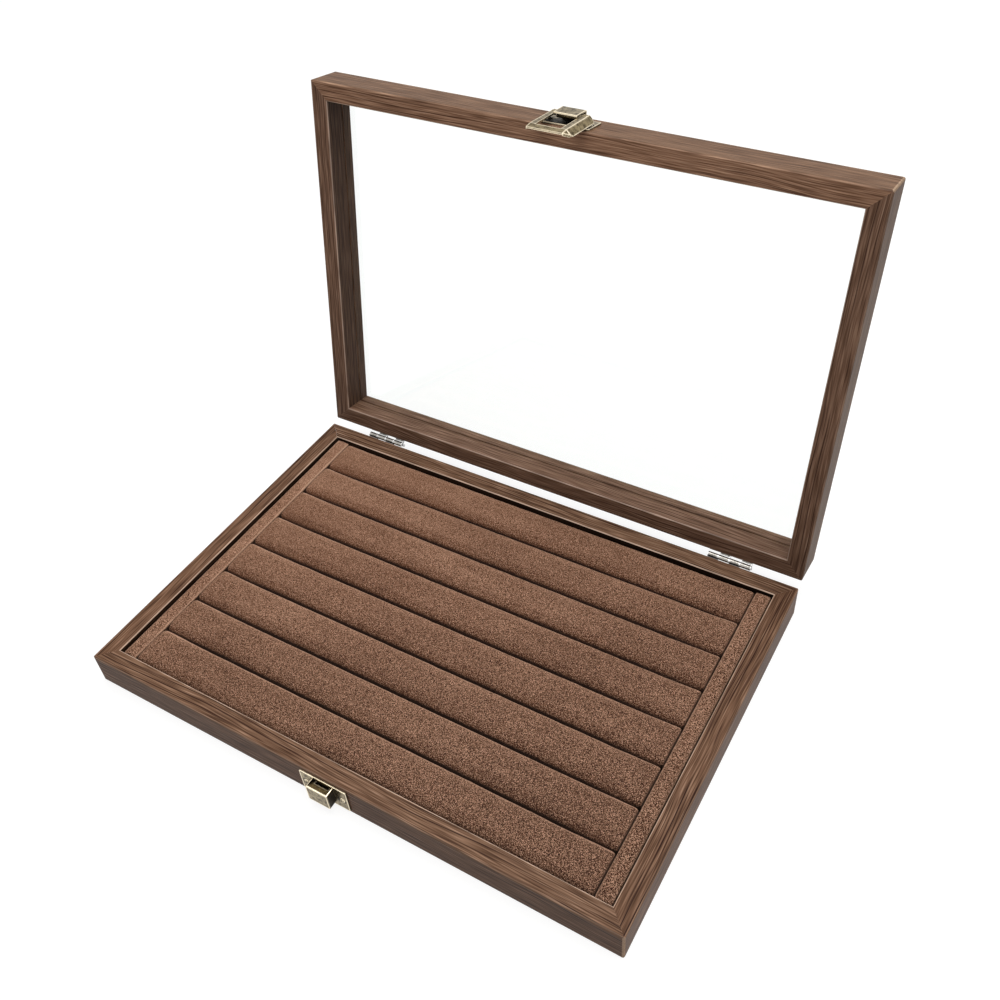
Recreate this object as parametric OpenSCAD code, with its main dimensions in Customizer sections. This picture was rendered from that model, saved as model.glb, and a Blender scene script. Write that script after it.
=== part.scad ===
// Ring display box: a mitred wooden base with a soft ring tray, a glazed lid on two
// stop hinges, and a pressed metal hasp and catch on the front.
// Millimetres, +Z up, +X right, +Y to the hinges. The origin is the middle of the underside.
// The lid stands open against its stops, and the hasp loop lies on the lid.

/* [Case] */
// Width of the case, left to right
case_w = 350; // [300:10:420]
// Depth of the case, front to back
case_d = 240; // [216:8:304]
// Height of the base
base_h = 22; // [21:1:30]
// Height of the lid
lid_h = 23.5; // [20:0.5:32]
// Width of every rail
rail_w = 11.5; // [10:0.5:15]
// Rounding along the rails' edges
edge_r = 0.8; // [0.4:0.1:1.2]
// Rounding of the upright corners
corner_r = 1.6; // [1.3:0.1:3]
// Gap between base and lid when closed
seam_gap = 0.3; // [0.2:0.1:0.6]
// Hairline left in each mitre
mitre_gap = 0.03; // [0.02:0.01:0.1]
// Angle the lid opens to
open_angle = 99.7; // [92:0.1:110]

/* [Bottom] */
// Thickness of the bottom panel
panel_t = 3; // [2:0.5:4]
// How far the bottom panel reaches under the rails
panel_lap = 5.5; // [3:0.5:7]
// Thickness of the tray board
board_t = 2; // [1:0.5:3]
// Clearance round the bottom panel and the tray board
panel_clear = 0.15; // [0.1:0.05:0.3]

/* [Soft tray] */
// Width of each side bar
bar_w = 10; // [7:0.5:16]
// Side bars' top below the rails' top
bar_drop = 1.7; // [1:0.1:3]
// Rounding of the side bars' top edges
bar_r = 1.5; // [1:0.5:4]
// Rolls' crest below the rails' top
roll_drop = 1; // [0.5:0.1:3]
// Rise of each roll's gently arched top
crown_rise = 1.2; // [0.6:0.2:3]
// Rounding of each roll's shoulders
shoulder_r = 6; // [4:0.5:9]
// Clearance between soft pieces and their neighbours
soft_gap = 0.3; // [0.2:0.05:0.6]
// Clearance between the side bars and the side rails
bar_gap = 0.8; // [0.3:0.1:1]

/* [Glass] */
// Thickness of the pane
glass_t = 2; // [1.5:0.5:3]
// Pane above the lid's lower face
glass_rise = 13.9; // [12:0.1:16]
// Depth of the pane's groove in the rails
groove_d = 4; // [3:0.5:5]
// Clearance round the pane in its groove
glass_clear = 0.1; // [0.05:0.05:0.3]

/* [Hinges] */
// Middle of each hinge from the case's side
hinge_inset = 45; // [30:5:80]
// Length of each hinge
hinge_len = 28; // [26:1:36]
// Thickness of a hinge leaf
leaf_t = 0.8; // [0.6:0.1:1]
// Reach of a leaf from the hinge axis
leaf_reach = 13.5; // [12:0.5:16]
// Hinge axis behind the case
axis_back = 2.8; // [2.7:0.1:3.4]
// Hinge axis below the base's top
axis_drop = 0.7; // [0.5:0.1:1]
// Outer radius of the knuckles
knuckle_r = 1.7; // [1.5:0.05:1.8]
// Radius of the hinge pins
pin_r = 1; // [0.8:0.05:1.1]
// Clearance of the hinge pins in their knuckles
pin_clear = 0.05; // [0.03:0.01:0.08]
// Gap between neighbouring knuckles
knuckle_gap = 0.2; // [0.1:0.05:0.4]
// Reach of the stop lips past the knuckles
lip_reach = 2; // [1.5:0.1:2.5]
// Gap between the stop lips with the lid open
stop_gap = 0.06; // [0.04:0.01:0.2]
// Hinge screws from the hinge's middle
hinge_screw_x = 9.5; // [8:0.5:10]
// Hinge screws from the hinge axis
hinge_screw_z = 9; // [8:0.5:10]

/* [Catch on the base] */
// Width of the catch plate
catch_w = 31.5; // [30:0.5:36]
// Height of the catch plate
catch_h = 17.5; // [16:0.5:18]
// Catch plate above the underside
catch_z = 2; // [1.5:0.1:2.5]
// Thickness of the catch's sheet
catch_t = 0.8; // [0.6:0.1:1]
// Width of the hook box
hook_w = 14.4; // [12:0.2:15]
// Height of the hook box
hook_h = 12.4; // [10:0.2:12.6]
// Hook box above the catch plate's lower edge
hook_z = 3.8; // [3.6:0.1:4.2]
// Front of the hook box from the rail
hook_rise = 6.5; // [5.5:0.1:7]
// Width of the slot in the hook's top
slot_w = 8.7; // [6:0.1:9.5]
// Width of the slot, front to back
slot_d = 1.3; // [0.8:0.1:1.8]
// Fall of the hook's top, from the rim to the plate
hook_fall = 1.6; // [0.8:0.1:2.2]

/* [Hasp on the lid] */
// Width of the hasp plate
hasp_w = 30; // [28:0.5:34]
// Height of the hasp plate
hasp_h = 15; // [14:0.5:16]
// Hasp plate above the lid's lower face
hasp_z = 2; // [1.5:0.1:3]
// Thickness of the hasp's sheet
hasp_t = 0.9; // [0.7:0.1:1]
// Width of the strap
strap_w = 14.4; // [12:0.2:15]
// Length of the strap along the plate
strap_len = 11.7; // [10:0.1:12.5]
// Rise of the strap's top from its free edge to its far end
strap_rise = 0.4; // [0:0.1:0.8]
// Loop's axis behind the strap's free edge
loop_back = 5.2; // [4:0.1:6]
// Loop's axis above the lid's front face
loop_rise = 4.65; // [4.4:0.05:5]
// Radius of the loop's bar
loop_bar_r = 1.2; // [1:0.05:1.3]
// Clearance of the loop's bar in the strap's eye
loop_bar_clear = 0.05; // [0.03:0.01:0.08]

/* [Loop] */
// Thickness of the loop's sheet
loop_t = 1; // [0.8:0.1:1.1]
// Width of each arm's flat top
arm_w = 3.3; // [2.8:0.1:4]
// Outward reach of the arms' flanges
flange_out = 3.4; // [2.5:0.1:4]
// Drop of the arms' flanges
flange_drop = 3.6; // [3:0.1:3.8]
// Width of the loop's lip
lip_w = 4.3; // [3:0.1:4.6]
// Bend of the lip towards the case
lip_bend = 10; // [0:1:20]
// Lean of the resting loop towards the case
loop_droop = 2.3; // [0:0.1:3]
// Clearance of the loop round the hook box
loop_clear = 0.4; // [0.3:0.05:0.8]

/* [Screws] */
// Radius of the screw heads
head_r = 2.1; // [1.6:0.1:2.4]
// Height of the screw heads
head_h = 0.7; // [0.5:0.1:0.8]
// Radius of the screw shanks
shank_r = 1; // [0.7:0.05:1.2]
// Length of the screws below the head
screw_len = 6.5; // [5:0.5:7]
// Clearance of the screws in their holes
screw_clear = 0.1; // [0.05:0.05:0.2]
// Latch screws from the latch's middle
latch_screw_x = 11.8; // [10.5:0.1:12.5]

/* [Latch place] */
// Middle of the latch from the case's middle
latch_x = -2; // [-20:0.5:20]

/* [Hidden] */
$fn = 48;
eps = 0.01;                                  // overrun of cuts and of fused pieces

// Case
in_w = case_w - 2 * rail_w;                  // inside width
in_d = case_d - 2 * rail_w;                  // inside depth
lid_z = base_h + seam_gap;                   // lid's lower face when closed
floor_z = panel_t + panel_clear + board_t;   // where the soft tray stands

// Soft tray
roll_count = 8;
roll_pitch = in_d / roll_count;
roll_w = roll_pitch - soft_gap;
roll_len = in_w - 2 * (bar_gap + bar_w + soft_gap);
crest_z = base_h - roll_drop;
crown_r = (pow(roll_w / 2, 2) + pow(crown_rise, 2)) / (2 * crown_rise);
shoulder_x = roll_w / 2 - shoulder_r;        // a shoulder's centre, where it touches the side
shoulder_z = crest_z - crown_r               // and the arch
    + sqrt(pow(crown_r - shoulder_r, 2) - pow(shoulder_x, 2));

// Pane
glass_z = lid_z + glass_rise;
glass_lap = groove_d - glass_clear;

// Hinges
hinge_x = case_w / 2 - hinge_inset;
axis_y = case_d / 2 + axis_back;
axis_z = base_h - axis_drop;
knuckle_count = 4;
knuckle_pitch = hinge_len / knuckle_count;
leaf_top = knuckle_r + 0.5;                  // leaf's upper edge, below the axis
lip_t = leaf_t;

// Latch
hook_z0 = catch_z + hook_z;
hook_z1 = hook_z0 + hook_h;
catch_mid = catch_z + catch_h / 2;
hasp_z0 = lid_z + hasp_z;
hasp_mid = hasp_z0 + hasp_h / 2 - 1.3;       // height of the hasp screws
eye_r = loop_bar_r + loop_bar_clear;         // bore of the strap's eye
eye_out = eye_r + hasp_t;
strap_z0 = hasp_z0 + 0.3;                    // strap's free edge
loop_z = strap_z0 + loop_back;               // loop's axis when the lid is closed
loop_y = -case_d / 2 - loop_rise;

// Loop, measured from its axis
win_w = max(hook_w, strap_w) + 2 * loop_clear;
arm_x = win_w / 2 + arm_w;                   // crest between arm and flange
arm_top = loop_bar_r - 0.1;
ear_r = loop_bar_r + 0.1;
tail_r = 2.85;                               // rounding of the arms' far ends
win_len = (loop_z - (hook_z0 - loop_clear)) / cos(loop_droop);
lip_cut = lip_w + 2;                         // flange's front corner, cut back
flange_a = atan2(flange_drop, flange_out);

// ---- shared shapes ----

// Rectangle with round corners, centred
module round_rect(w, d, r) {
    square([w - 2 * r, d], center = true);
    square([w, d - 2 * r], center = true);
    for (x = [-1, 1], y = [-1, 1])
        translate([x * (w / 2 - r), y * (d / 2 - r)]) circle(r);
}

// Prism along X of a section drawn in Y and Z
module along_x(len) {
    translate([-len / 2, 0, 0]) rotate([90, 0, 90]) linear_extrude(len) children();
}

// Puts a piece drawn on the front rail onto another side: quarter turns about Z
module on_side(turns) {
    rotate([0, 0, 90 * turns]) children();
}

// Plan of one mitred rail, on the front: a trapezium between its two mitres
module mitre_plan(w, d) {
    g = mitre_gap / sqrt(2);
    polygon([
        [-w / 2 + g, -d / 2], [w / 2 - g, -d / 2],
        [w / 2 - rail_w - g, -d / 2 + rail_w], [-w / 2 + rail_w + g, -d / 2 + rail_w]
    ]);
}

// One rail on the front side of a frame w wide and d deep, from z = 0 to h
module rail(w, d, h) {
    intersection() {
        translate([0, -d / 2 + rail_w / 2, h / 2])
            along_x(w) round_rect(rail_w, h, edge_r);
        linear_extrude(h) mitre_plan(w, d);
        linear_extrude(h) round_rect(w, d, corner_r);
    }
}

// Base rail: the rail with the bottom panel's rebate
module base_rail(turns) {
    w = turns % 2 == 0 ? case_w : case_d;
    d = turns % 2 == 0 ? case_d : case_w;
    lap = panel_lap + panel_clear;
    on_side(turns) difference() {
        rail(w, d, base_h);
        translate([-w / 2, -d / 2 + rail_w - lap, -eps])
            cube([w, lap + eps, panel_t + panel_clear + eps]);
    }
}

// Lid rail: the rail with the pane's groove
module lid_rail(turns) {
    w = turns % 2 == 0 ? case_w : case_d;
    d = turns % 2 == 0 ? case_d : case_w;
    translate([0, 0, lid_z]) on_side(turns) difference() {
        rail(w, d, lid_h);
        translate([-w / 2, -d / 2 + rail_w - groove_d, glass_rise - glass_clear])
            cube([w, groove_d + eps, glass_t + 2 * glass_clear]);
    }
}

// Carries what is drawn on the closed lid to the open lid
module opened() {
    translate([0, axis_y, axis_z]) rotate([-open_angle, 0, 0])
        translate([0, -axis_y, -axis_z]) children();
}

// Screw along +Z with its head's seat at z = 0 and a cross recess
module screw() {
    dome_r = (pow(head_r, 2) + pow(head_h, 2)) / (2 * head_h);
    difference() {
        union() {
            intersection() {
                translate([0, 0, head_h - dome_r]) sphere(dome_r);
                cylinder(h = head_h + 1, r = head_r + 1);
            }
            translate([0, 0, -screw_len]) cylinder(h = screw_len + head_h / 2, r = shank_r);
        }
        for (a = [0, 90])
            rotate([0, 0, a]) translate([0, 0, head_h]) cube([head_r * 1.2, 0.5, head_h], center = true);
    }
}

// Hole for that screw
module screw_hole() {
    translate([0, 0, -screw_len - 0.3]) cylinder(h = screw_len + 2, r = shank_r + screw_clear);
}

// Places of the catch's screws, looking into the front rail
module at_catch_screws() {
    for (x = [-1, 1])
        translate([latch_x + x * latch_screw_x, -case_d / 2 - catch_t, catch_mid])
            rotate([90, 0, 0]) children();
}

// Places of the hasp's screws on the closed lid
module at_hasp_screws() {
    for (x = [-1, 1])
        translate([latch_x + x * latch_screw_x, -case_d / 2 - hasp_t, hasp_mid])
            rotate([90, 0, 0]) children();
}

// Places of one hinge's screws in one leaf: up is -1 for the base and 1 for the lid
module at_leaf_screws(side, up) {
    for (x = [-1, 1])
        translate([side * hinge_x + x * hinge_screw_x, case_d / 2 + leaf_t, axis_z + up * hinge_screw_z])
            rotate([-90, 0, 0]) children();
}

// ---- base ----

module base_rail_front() {
    color("#8a7262") difference() {
        base_rail(0);
        at_catch_screws() screw_hole();
    }
}

module base_rail_back() {
    color("#8a7262") difference() {
        base_rail(2);
        for (side = [-1, 1]) at_leaf_screws(side, -1) screw_hole();
    }
}

module base_rail_left() {
    color("#80685a") base_rail(3);
}

module base_rail_right() {
    color("#80685a") base_rail(1);
}

module bottom_panel() {
    color("#5f4a3e") translate([0, 0, panel_t / 2])
        cube([in_w + 2 * panel_lap, in_d + 2 * panel_lap, panel_t], center = true);
}

module tray_board() {
    color("#3f332c") translate([0, 0, floor_z - board_t / 2])
        cube([in_w - 2 * panel_clear, in_d - 2 * panel_clear, board_t], center = true);
}

// Padded bar along one side rail: side is -1 on the left and 1 on the right
module side_bar(side) {
    h = base_h - bar_drop - floor_z;
    translate([side * (in_w / 2 - bar_gap - bar_w / 2), 0, floor_z])
        rotate([90, 0, 0]) linear_extrude(in_d - 2 * soft_gap, center = true) {
            translate([-bar_w / 2, 0]) square([bar_w, h - bar_r]);
            translate([-bar_w / 2 + bar_r, 0]) square([bar_w - 2 * bar_r, h]);
            for (x = [-1, 1]) translate([x * (bar_w / 2 - bar_r), h - bar_r]) circle(bar_r);
        }
}

module side_bar_left() {
    color("#6b4a3a") side_bar(-1);
}

module side_bar_right() {
    color("#6b4a3a") side_bar(1);
}

// Section of a roll: flat foot, upright sides, round shoulders and an arched top
module roll_section() {
    spread = (crown_r + 1) / (crown_r - shoulder_r);
    rise = shoulder_z - crest_z + crown_r;
    translate([-roll_w / 2, floor_z]) square([roll_w, shoulder_z - floor_z]);
    for (x = [-1, 1]) translate([x * shoulder_x, shoulder_z]) circle(shoulder_r);
    intersection() {
        translate([0, crest_z - crown_r]) circle(crown_r, $fn = 192);
        polygon([
            [-shoulder_x, shoulder_z], [shoulder_x, shoulder_z],
            [shoulder_x * spread, shoulder_z + rise * (spread - 1)],
            [-shoulder_x * spread, shoulder_z + rise * (spread - 1)]
        ]);
    }
}

// Padded roll, counted from the front
module ring_roll(n) {
    color("#74513f") translate([0, -in_d / 2 + roll_pitch * (n - 0.5), 0])
        along_x(roll_len) roll_section();
}

// ---- hinges ----

// Section of a leaf's flat plate, below the axis
module leaf_plate() {
    translate([-axis_back, -leaf_reach]) square([leaf_t, leaf_reach - leaf_top]);
}

// Section of the web from the plate to a knuckle
module leaf_web() {
    polygon([
        [-axis_back, -leaf_top - 1.4], [-axis_back + leaf_t, -leaf_top - 1.4],
        [-axis_back + leaf_t, -leaf_top - 0.6], [-0.1, -knuckle_r + 0.02],
        [-knuckle_r + 0.15, -0.75], [-axis_back, -leaf_top + 0.1]
    ]);
}

// Section of the stop lip that leans out from the knuckles, from radius r0
module stop_lip(r0) {
    rotate(-open_angle / 2)
        translate([r0, -stop_gap / 2 - lip_t]) square([knuckle_r + lip_reach - r0, lip_t]);
}

// One leaf below the axis with the knuckles first and first + 2
module leaf(first) {
    difference() {
        union() {
            along_x(hinge_len) leaf_plate();
            for (k = [first, first + 2])
                translate([(k + 0.5) * knuckle_pitch - hinge_len / 2, 0, 0])
                    along_x(knuckle_pitch - knuckle_gap) {
                        circle(knuckle_r);
                        leaf_web();
                        stop_lip(pin_r + 0.4);
                    }
            children();
        }
        rotate([0, 90, 0]) cylinder(h = hinge_len + 2, r = pin_r + pin_clear, center = true);
    }
}

// Leaf on the base, with a stop lip along its whole length
module hinge_base(side) {
    color("silver") difference() {
        translate([side * hinge_x, axis_y, axis_z]) leaf(0)
            along_x(hinge_len - knuckle_gap) stop_lip(knuckle_r + 0.25);
        at_leaf_screws(side, -1) screw_hole();
    }
}

module hinge_base_left() {
    hinge_base(-1);
}

module hinge_base_right() {
    hinge_base(1);
}

module hinge_pin(side) {
    color("silver") translate([side * hinge_x, axis_y, axis_z]) rotate([0, 90, 0])
        cylinder(h = hinge_len, r = pin_r, center = true);
}

module hinge_pin_left() {
    hinge_pin(-1);
}

module hinge_pin_right() {
    hinge_pin(1);
}

module hinge_screws_base() {
    color("silver") for (side = [-1, 1]) at_leaf_screws(side, -1) screw();
}

// ---- catch ----

// Prism standing out from the front rail on the latch's middle: a section in X and Z,
// from y0 to y1 before the rail
module standing_out(y0, y1) {
    translate([latch_x, -case_d / 2 - y0, 0]) rotate([90, 0, 0]) linear_extrude(y1 - y0) children();
}

// Space inside the hook box, drawn as a section of distance from the rail and height
module hook_space(points) {
    w = hook_w - 2 * catch_t;
    translate([latch_x - w / 2, -case_d / 2, 0]) rotate([90, 0, 90])
        linear_extrude(w) mirror([1, 0]) polygon(points);
}

module catch() {
    front = hook_rise - catch_t;
    rim = hook_z1 - 0.5;                     // top of the sloping top at the front wall
    heel = rim - hook_fall;                  // and at the plate
    color("#8d7b52") difference() {
        union() {
            standing_out(0, catch_t) translate([0, catch_mid]) round_rect(catch_w, catch_h, 0.8);
            standing_out(catch_t - eps, hook_rise)
                translate([0, (hook_z0 + hook_z1) / 2]) round_rect(hook_w, hook_h, 0.8);
        }
        hook_space([[catch_t, heel], [front, rim], [front, hook_z1 + 1], [catch_t, hook_z1 + 1]]);
        hook_space([
            [catch_t, hook_z0 + catch_t], [front, hook_z0 + catch_t],
            [front, rim - catch_t], [catch_t, heel - catch_t]
        ]);
        translate([latch_x - slot_w / 2, -case_d / 2 - catch_t - slot_d, heel - 2 * catch_t])
            cube([slot_w, slot_d, 3 * catch_t]);
        at_catch_screws() screw_hole();
    }
}

module catch_screws() {
    color("#a5925f") at_catch_screws() screw();
}

// ---- lid, drawn closed and carried to the open lid ----

module lid_rail_front() {
    color("#9a806d") opened() difference() {
        lid_rail(0);
        at_hasp_screws() screw_hole();
    }
}

module lid_rail_back() {
    color("#8a7262") opened() difference() {
        lid_rail(2);
        for (side = [-1, 1]) at_leaf_screws(side, 1) screw_hole();
    }
}

module lid_rail_left() {
    color("#80685a") opened() lid_rail(3);
}

module lid_rail_right() {
    color("#80685a") opened() lid_rail(1);
}

module glass_pane() {
    color("lightblue", 0.3) opened() translate([0, 0, glass_z + glass_t / 2])
        cube([in_w + 2 * glass_lap, in_d + 2 * glass_lap, glass_t], center = true);
}

// Leaf on the lid: the other leaf's mirror image in the hinge axis, with the other knuckles
module hinge_lid(side) {
    color("silver") opened() difference() {
        translate([side * hinge_x, axis_y, axis_z]) mirror([0, 0, 1]) leaf(1);
        at_leaf_screws(side, 1) screw_hole();
    }
}

module hinge_lid_left() {
    hinge_lid(-1);
}

module hinge_lid_right() {
    hinge_lid(1);
}

module hinge_screws_lid() {
    color("silver") opened() for (side = [-1, 1]) at_leaf_screws(side, 1) screw();
}

// Section of the hasp's strap: a top that is free at its lower edge, an eye under it round the
// loop's bar, and a far wall on the plate.
// The first axis runs out from the lid's front face, the second up the lid.
module strap_section() {
    top = loop_rise + eye_out;
    far = top + strap_rise;
    z1 = strap_z0 + strap_len;
    translate([loop_rise, loop_z]) circle(eye_out);
    polygon([
        [top, strap_z0], [far, z1 - 1.2], [far - 1.2, z1], [0, z1],
        [0, z1 - hasp_t], [far - 1.6, z1 - hasp_t], [far - hasp_t, z1 - 1.6], [top - hasp_t, strap_z0]
    ]);
    translate([far - 1.2, z1 - 1.2]) intersection() {
        difference() {
            circle(1.2);
            circle(1.2 - hasp_t);
        }
        square(1.2);
    }
}

module hasp() {
    color("#8d7b52") opened() difference() {
        union() {
            standing_out(0, hasp_t) translate([0, hasp_z0 + hasp_h / 2]) round_rect(hasp_w, hasp_h, 0.8);
            translate([latch_x - strap_w / 2, -case_d / 2, 0]) rotate([90, 0, 90])
                linear_extrude(strap_w) mirror([1, 0]) strap_section();
        }
        translate([latch_x, loop_y, loop_z]) rotate([0, 90, 0])
            cylinder(h = strap_w + 2, r = eye_r, center = true);
        at_hasp_screws() screw_hole();
    }
}

module hasp_screws() {
    color("#a5925f") opened() at_hasp_screws() screw();
}

// ---- loop: drawn hanging from its axis at the origin, -Y outwards, -Z to its lip ----

// Section of the loop's bent sheet, X across and the second axis outwards
module loop_section() {
    inner_x = arm_x - loop_t * tan(flange_a / 2);
    foot_x = inner_x + (flange_drop - loop_t) / tan(flange_a);
    polygon([
        [-arm_x - flange_out, arm_top - flange_drop], [-arm_x, arm_top],
        [arm_x, arm_top], [arm_x + flange_out, arm_top - flange_drop],
        [foot_x, arm_top - flange_drop], [inner_x, arm_top - loop_t],
        [-inner_x, arm_top - loop_t], [-foot_x, arm_top - flange_drop]
    ]);
}

// Sheet of that section from z = -v1 to z = -v0
module loop_sheet(v0, v1) {
    translate([0, 0, -v1]) linear_extrude(v1 - v0) mirror([0, 1]) loop_section();
}

module loop_body() {
    end = win_len + lip_w * cos(lip_bend);
    side = flange_out + 1;
    difference() {
        union() {
            loop_sheet(0, win_len);
            translate([0, -arm_top, -win_len]) rotate([lip_bend, 0, 0])
                translate([0, arm_top, 0]) loop_sheet(-0.3, lip_w);
            intersection() {
                loop_sheet(-tail_r, 0);
                rotate([0, 90, 0]) cylinder(h = case_w, r = tail_r, center = true);
            }
        }
        translate([-win_w / 2, -tail_r, -win_len]) cube([win_w, 2 * tail_r, win_len + 2 * tail_r]);
        for (x = [0, 1]) mirror([x, 0, 0])
            rotate([90, 0, 0]) linear_extrude(4 * tail_r, center = true) polygon([
                [arm_x, -end], [arm_x + side, -end + lip_cut / flange_out * side],
                [arm_x + side, -end - 2], [arm_x, -end - 2]
            ]);
    }
    rotate([0, 90, 0]) cylinder(h = win_w + 2, r = loop_bar_r, center = true);
    for (x = [-1, 1]) translate([x * (win_w / 2 + arm_w / 2), 0, 0]) rotate([0, 90, 0])
        cylinder(h = arm_w, r = ear_r, center = true);
}

module loop() {
    color("#99875a") opened() translate([latch_x, loop_y, loop_z]) rotate([loop_droop, 0, 0]) loop_body();
}

base_rail_front();
base_rail_back();
base_rail_left();
base_rail_right();
bottom_panel();
tray_board();
side_bar_left();
side_bar_right();
ring_roll(1);  // ring_roll_1
ring_roll(2);  // ring_roll_2
ring_roll(3);  // ring_roll_3
ring_roll(4);  // ring_roll_4
ring_roll(5);  // ring_roll_5
ring_roll(6);  // ring_roll_6
ring_roll(7);  // ring_roll_7
ring_roll(8);  // ring_roll_8
hinge_base_left();
hinge_base_right();
hinge_pin_left();
hinge_pin_right();
hinge_screws_base();
catch();
catch_screws();
lid_rail_front();
lid_rail_back();
lid_rail_left();
lid_rail_right();
glass_pane();
hinge_lid_left();
hinge_lid_right();
hinge_screws_lid();
hasp();
hasp_screws();
loop();
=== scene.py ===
import math

import bmesh
import bpy
import numpy as np
from mathutils import Matrix, Vector
from mathutils.bvhtree import BVHTree


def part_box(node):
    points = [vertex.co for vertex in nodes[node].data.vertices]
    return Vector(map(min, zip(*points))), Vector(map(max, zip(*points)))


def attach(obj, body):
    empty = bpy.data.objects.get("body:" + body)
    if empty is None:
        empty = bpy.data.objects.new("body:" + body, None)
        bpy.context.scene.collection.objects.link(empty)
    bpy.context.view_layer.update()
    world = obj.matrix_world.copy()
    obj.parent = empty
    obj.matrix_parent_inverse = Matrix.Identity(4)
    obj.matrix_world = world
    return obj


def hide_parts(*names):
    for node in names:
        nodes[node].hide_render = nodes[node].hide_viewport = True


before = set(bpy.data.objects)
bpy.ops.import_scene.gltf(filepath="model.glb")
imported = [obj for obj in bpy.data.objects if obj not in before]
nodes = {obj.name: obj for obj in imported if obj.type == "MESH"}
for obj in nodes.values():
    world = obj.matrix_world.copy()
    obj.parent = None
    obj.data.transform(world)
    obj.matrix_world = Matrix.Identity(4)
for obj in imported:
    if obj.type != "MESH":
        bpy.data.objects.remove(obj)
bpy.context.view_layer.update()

scene = bpy.context.scene
mm = 0.001
lidTurn = math.radians(99.7)  # turns what is on the open lid back to the closed one
quarter = math.radians(90)

# camera: place in metres, turn in degrees, as the case stands on the floor
view = {
    "place": (0.261554, -0.315637, 0.514498),
    "turn": (46.7988, 3.8290, 30.5080),
    "lens": 38.1876,
    "sensor": 36.0,
    "shiftY": -0.018618,
    "clip": (0.01, 50),
}

cameraData = bpy.data.cameras.new("camera")
cameraData.sensor_fit = "HORIZONTAL"
cameraData.sensor_width = view["sensor"]
cameraData.lens = view["lens"]
cameraData.shift_y = view["shiftY"]
cameraData.clip_start, cameraData.clip_end = view["clip"]
camera = bpy.data.objects.new("camera", cameraData)
camera.location = view["place"]
camera.rotation_euler = [math.radians(a) for a in view["turn"]]
scene.collection.objects.link(camera)
scene.camera = camera
scene.view_settings.view_transform = "Standard"
print("camera placed")


def paint(code):  # a colour written as in a paint chart, made linear for the shader
    channels = [int(code[i:i + 2], 16) / 255 for i in (1, 3, 5)]
    return tuple(c / 12.92 if c < 0.04045 else ((c + 0.055) / 1.055) ** 2.4 for c in channels) + (1.0,)


def plug(tree, socket, value):
    if isinstance(value, bpy.types.NodeSocket):
        tree.links.new(value, socket)
    else:
        socket.default_value = value


def addNode(tree, kind, inputs=None, **settings):
    node = tree.nodes.new("ShaderNode" + kind)
    for key, value in settings.items():
        setattr(node, key, value)
    for socket, value in (inputs or {}).items():
        plug(tree, node.inputs[socket], value)
    return node


def calc(tree, operation, a, b=0.0, c=0.0, clamp=False):
    return addNode(tree, "Math", {0: a, 1: b, 2: c}, operation=operation, use_clamp=clamp).outputs[0]


def spread(tree, value, low, high, start=0.0, end=1.0):
    inputs = {"Value": value, "From Min": low, "From Max": high, "To Min": start, "To Max": end}
    return addNode(tree, "MapRange", inputs, clamp=True).outputs["Result"]


def blendColours(tree, factor, first, second):
    node = addNode(tree, "Mix", data_type="RGBA")
    plug(tree, node.inputs[0], factor)
    plug(tree, node.inputs[6], first)
    plug(tree, node.inputs[7], second)
    return node.outputs[2]


def tones(tree, factor, stops):
    node = addNode(tree, "ValToRGB", {"Fac": factor})
    ramp = node.color_ramp
    while len(ramp.elements) < len(stops):
        ramp.elements.new(0.5)
    for element, (position, colour) in zip(ramp.elements, stops):
        element.position = position
        element.color = paint(colour)
    return node.outputs["Color"]


def stretched(tree, place, scale, turn=(0, 0, 0), shift=(0, 0, 0)):
    inputs = {"Vector": place, "Scale": scale, "Rotation": turn, "Location": shift}
    return addNode(tree, "Mapping", inputs).outputs["Vector"]


def cloudy(tree, place, scale=1.0, detail=2.0, roughness=0.5):
    inputs = {"Vector": place, "Scale": scale, "Detail": detail, "Roughness": roughness}
    return addNode(tree, "TexNoise", inputs).outputs["Fac"]


def raised(tree, height, distance, strength):
    inputs = {"Height": height, "Distance": distance, "Strength": strength}
    return addNode(tree, "Bump", inputs).outputs["Normal"]


def vectorMath(tree, operation, a, b, c=(0, 0, 0)):
    node = addNode(tree, "VectorMath", {0: a, 1: b, 2: c}, operation=operation)
    return node.outputs["Value" if operation == "DOT_PRODUCT" else "Vector"]


def apart(tree, vector):
    return addNode(tree, "SeparateXYZ", {0: vector}).outputs


def turned(tree, normal, angles):
    inputs = {"Vector": normal, "Rotation": angles}
    return addNode(tree, "Mapping", inputs, vector_type="NORMAL").outputs["Vector"]


def stored(tree, name):
    return addNode(tree, "Attribute", attribute_name=name).outputs["Fac"]


def keep(attributes, values):  # writes a value for each point of a mesh
    for name, numbers in values.items():
        layer = attributes.new(name, "FLOAT", "POINT")
        layer.data.foreach_set("value", numbers.astype(np.float32))


def startMaterial(name):
    material = bpy.data.materials.new(name)
    material.use_nodes = True
    tree = material.node_tree
    tree.nodes.clear()
    output = addNode(tree, "OutputMaterial")
    shader = addNode(tree, "BsdfPrincipled")
    tree.links.new(shader.outputs["BSDF"], output.inputs["Surface"])
    place = addNode(tree, "TexCoord")
    return material, tree, shader, place


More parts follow.
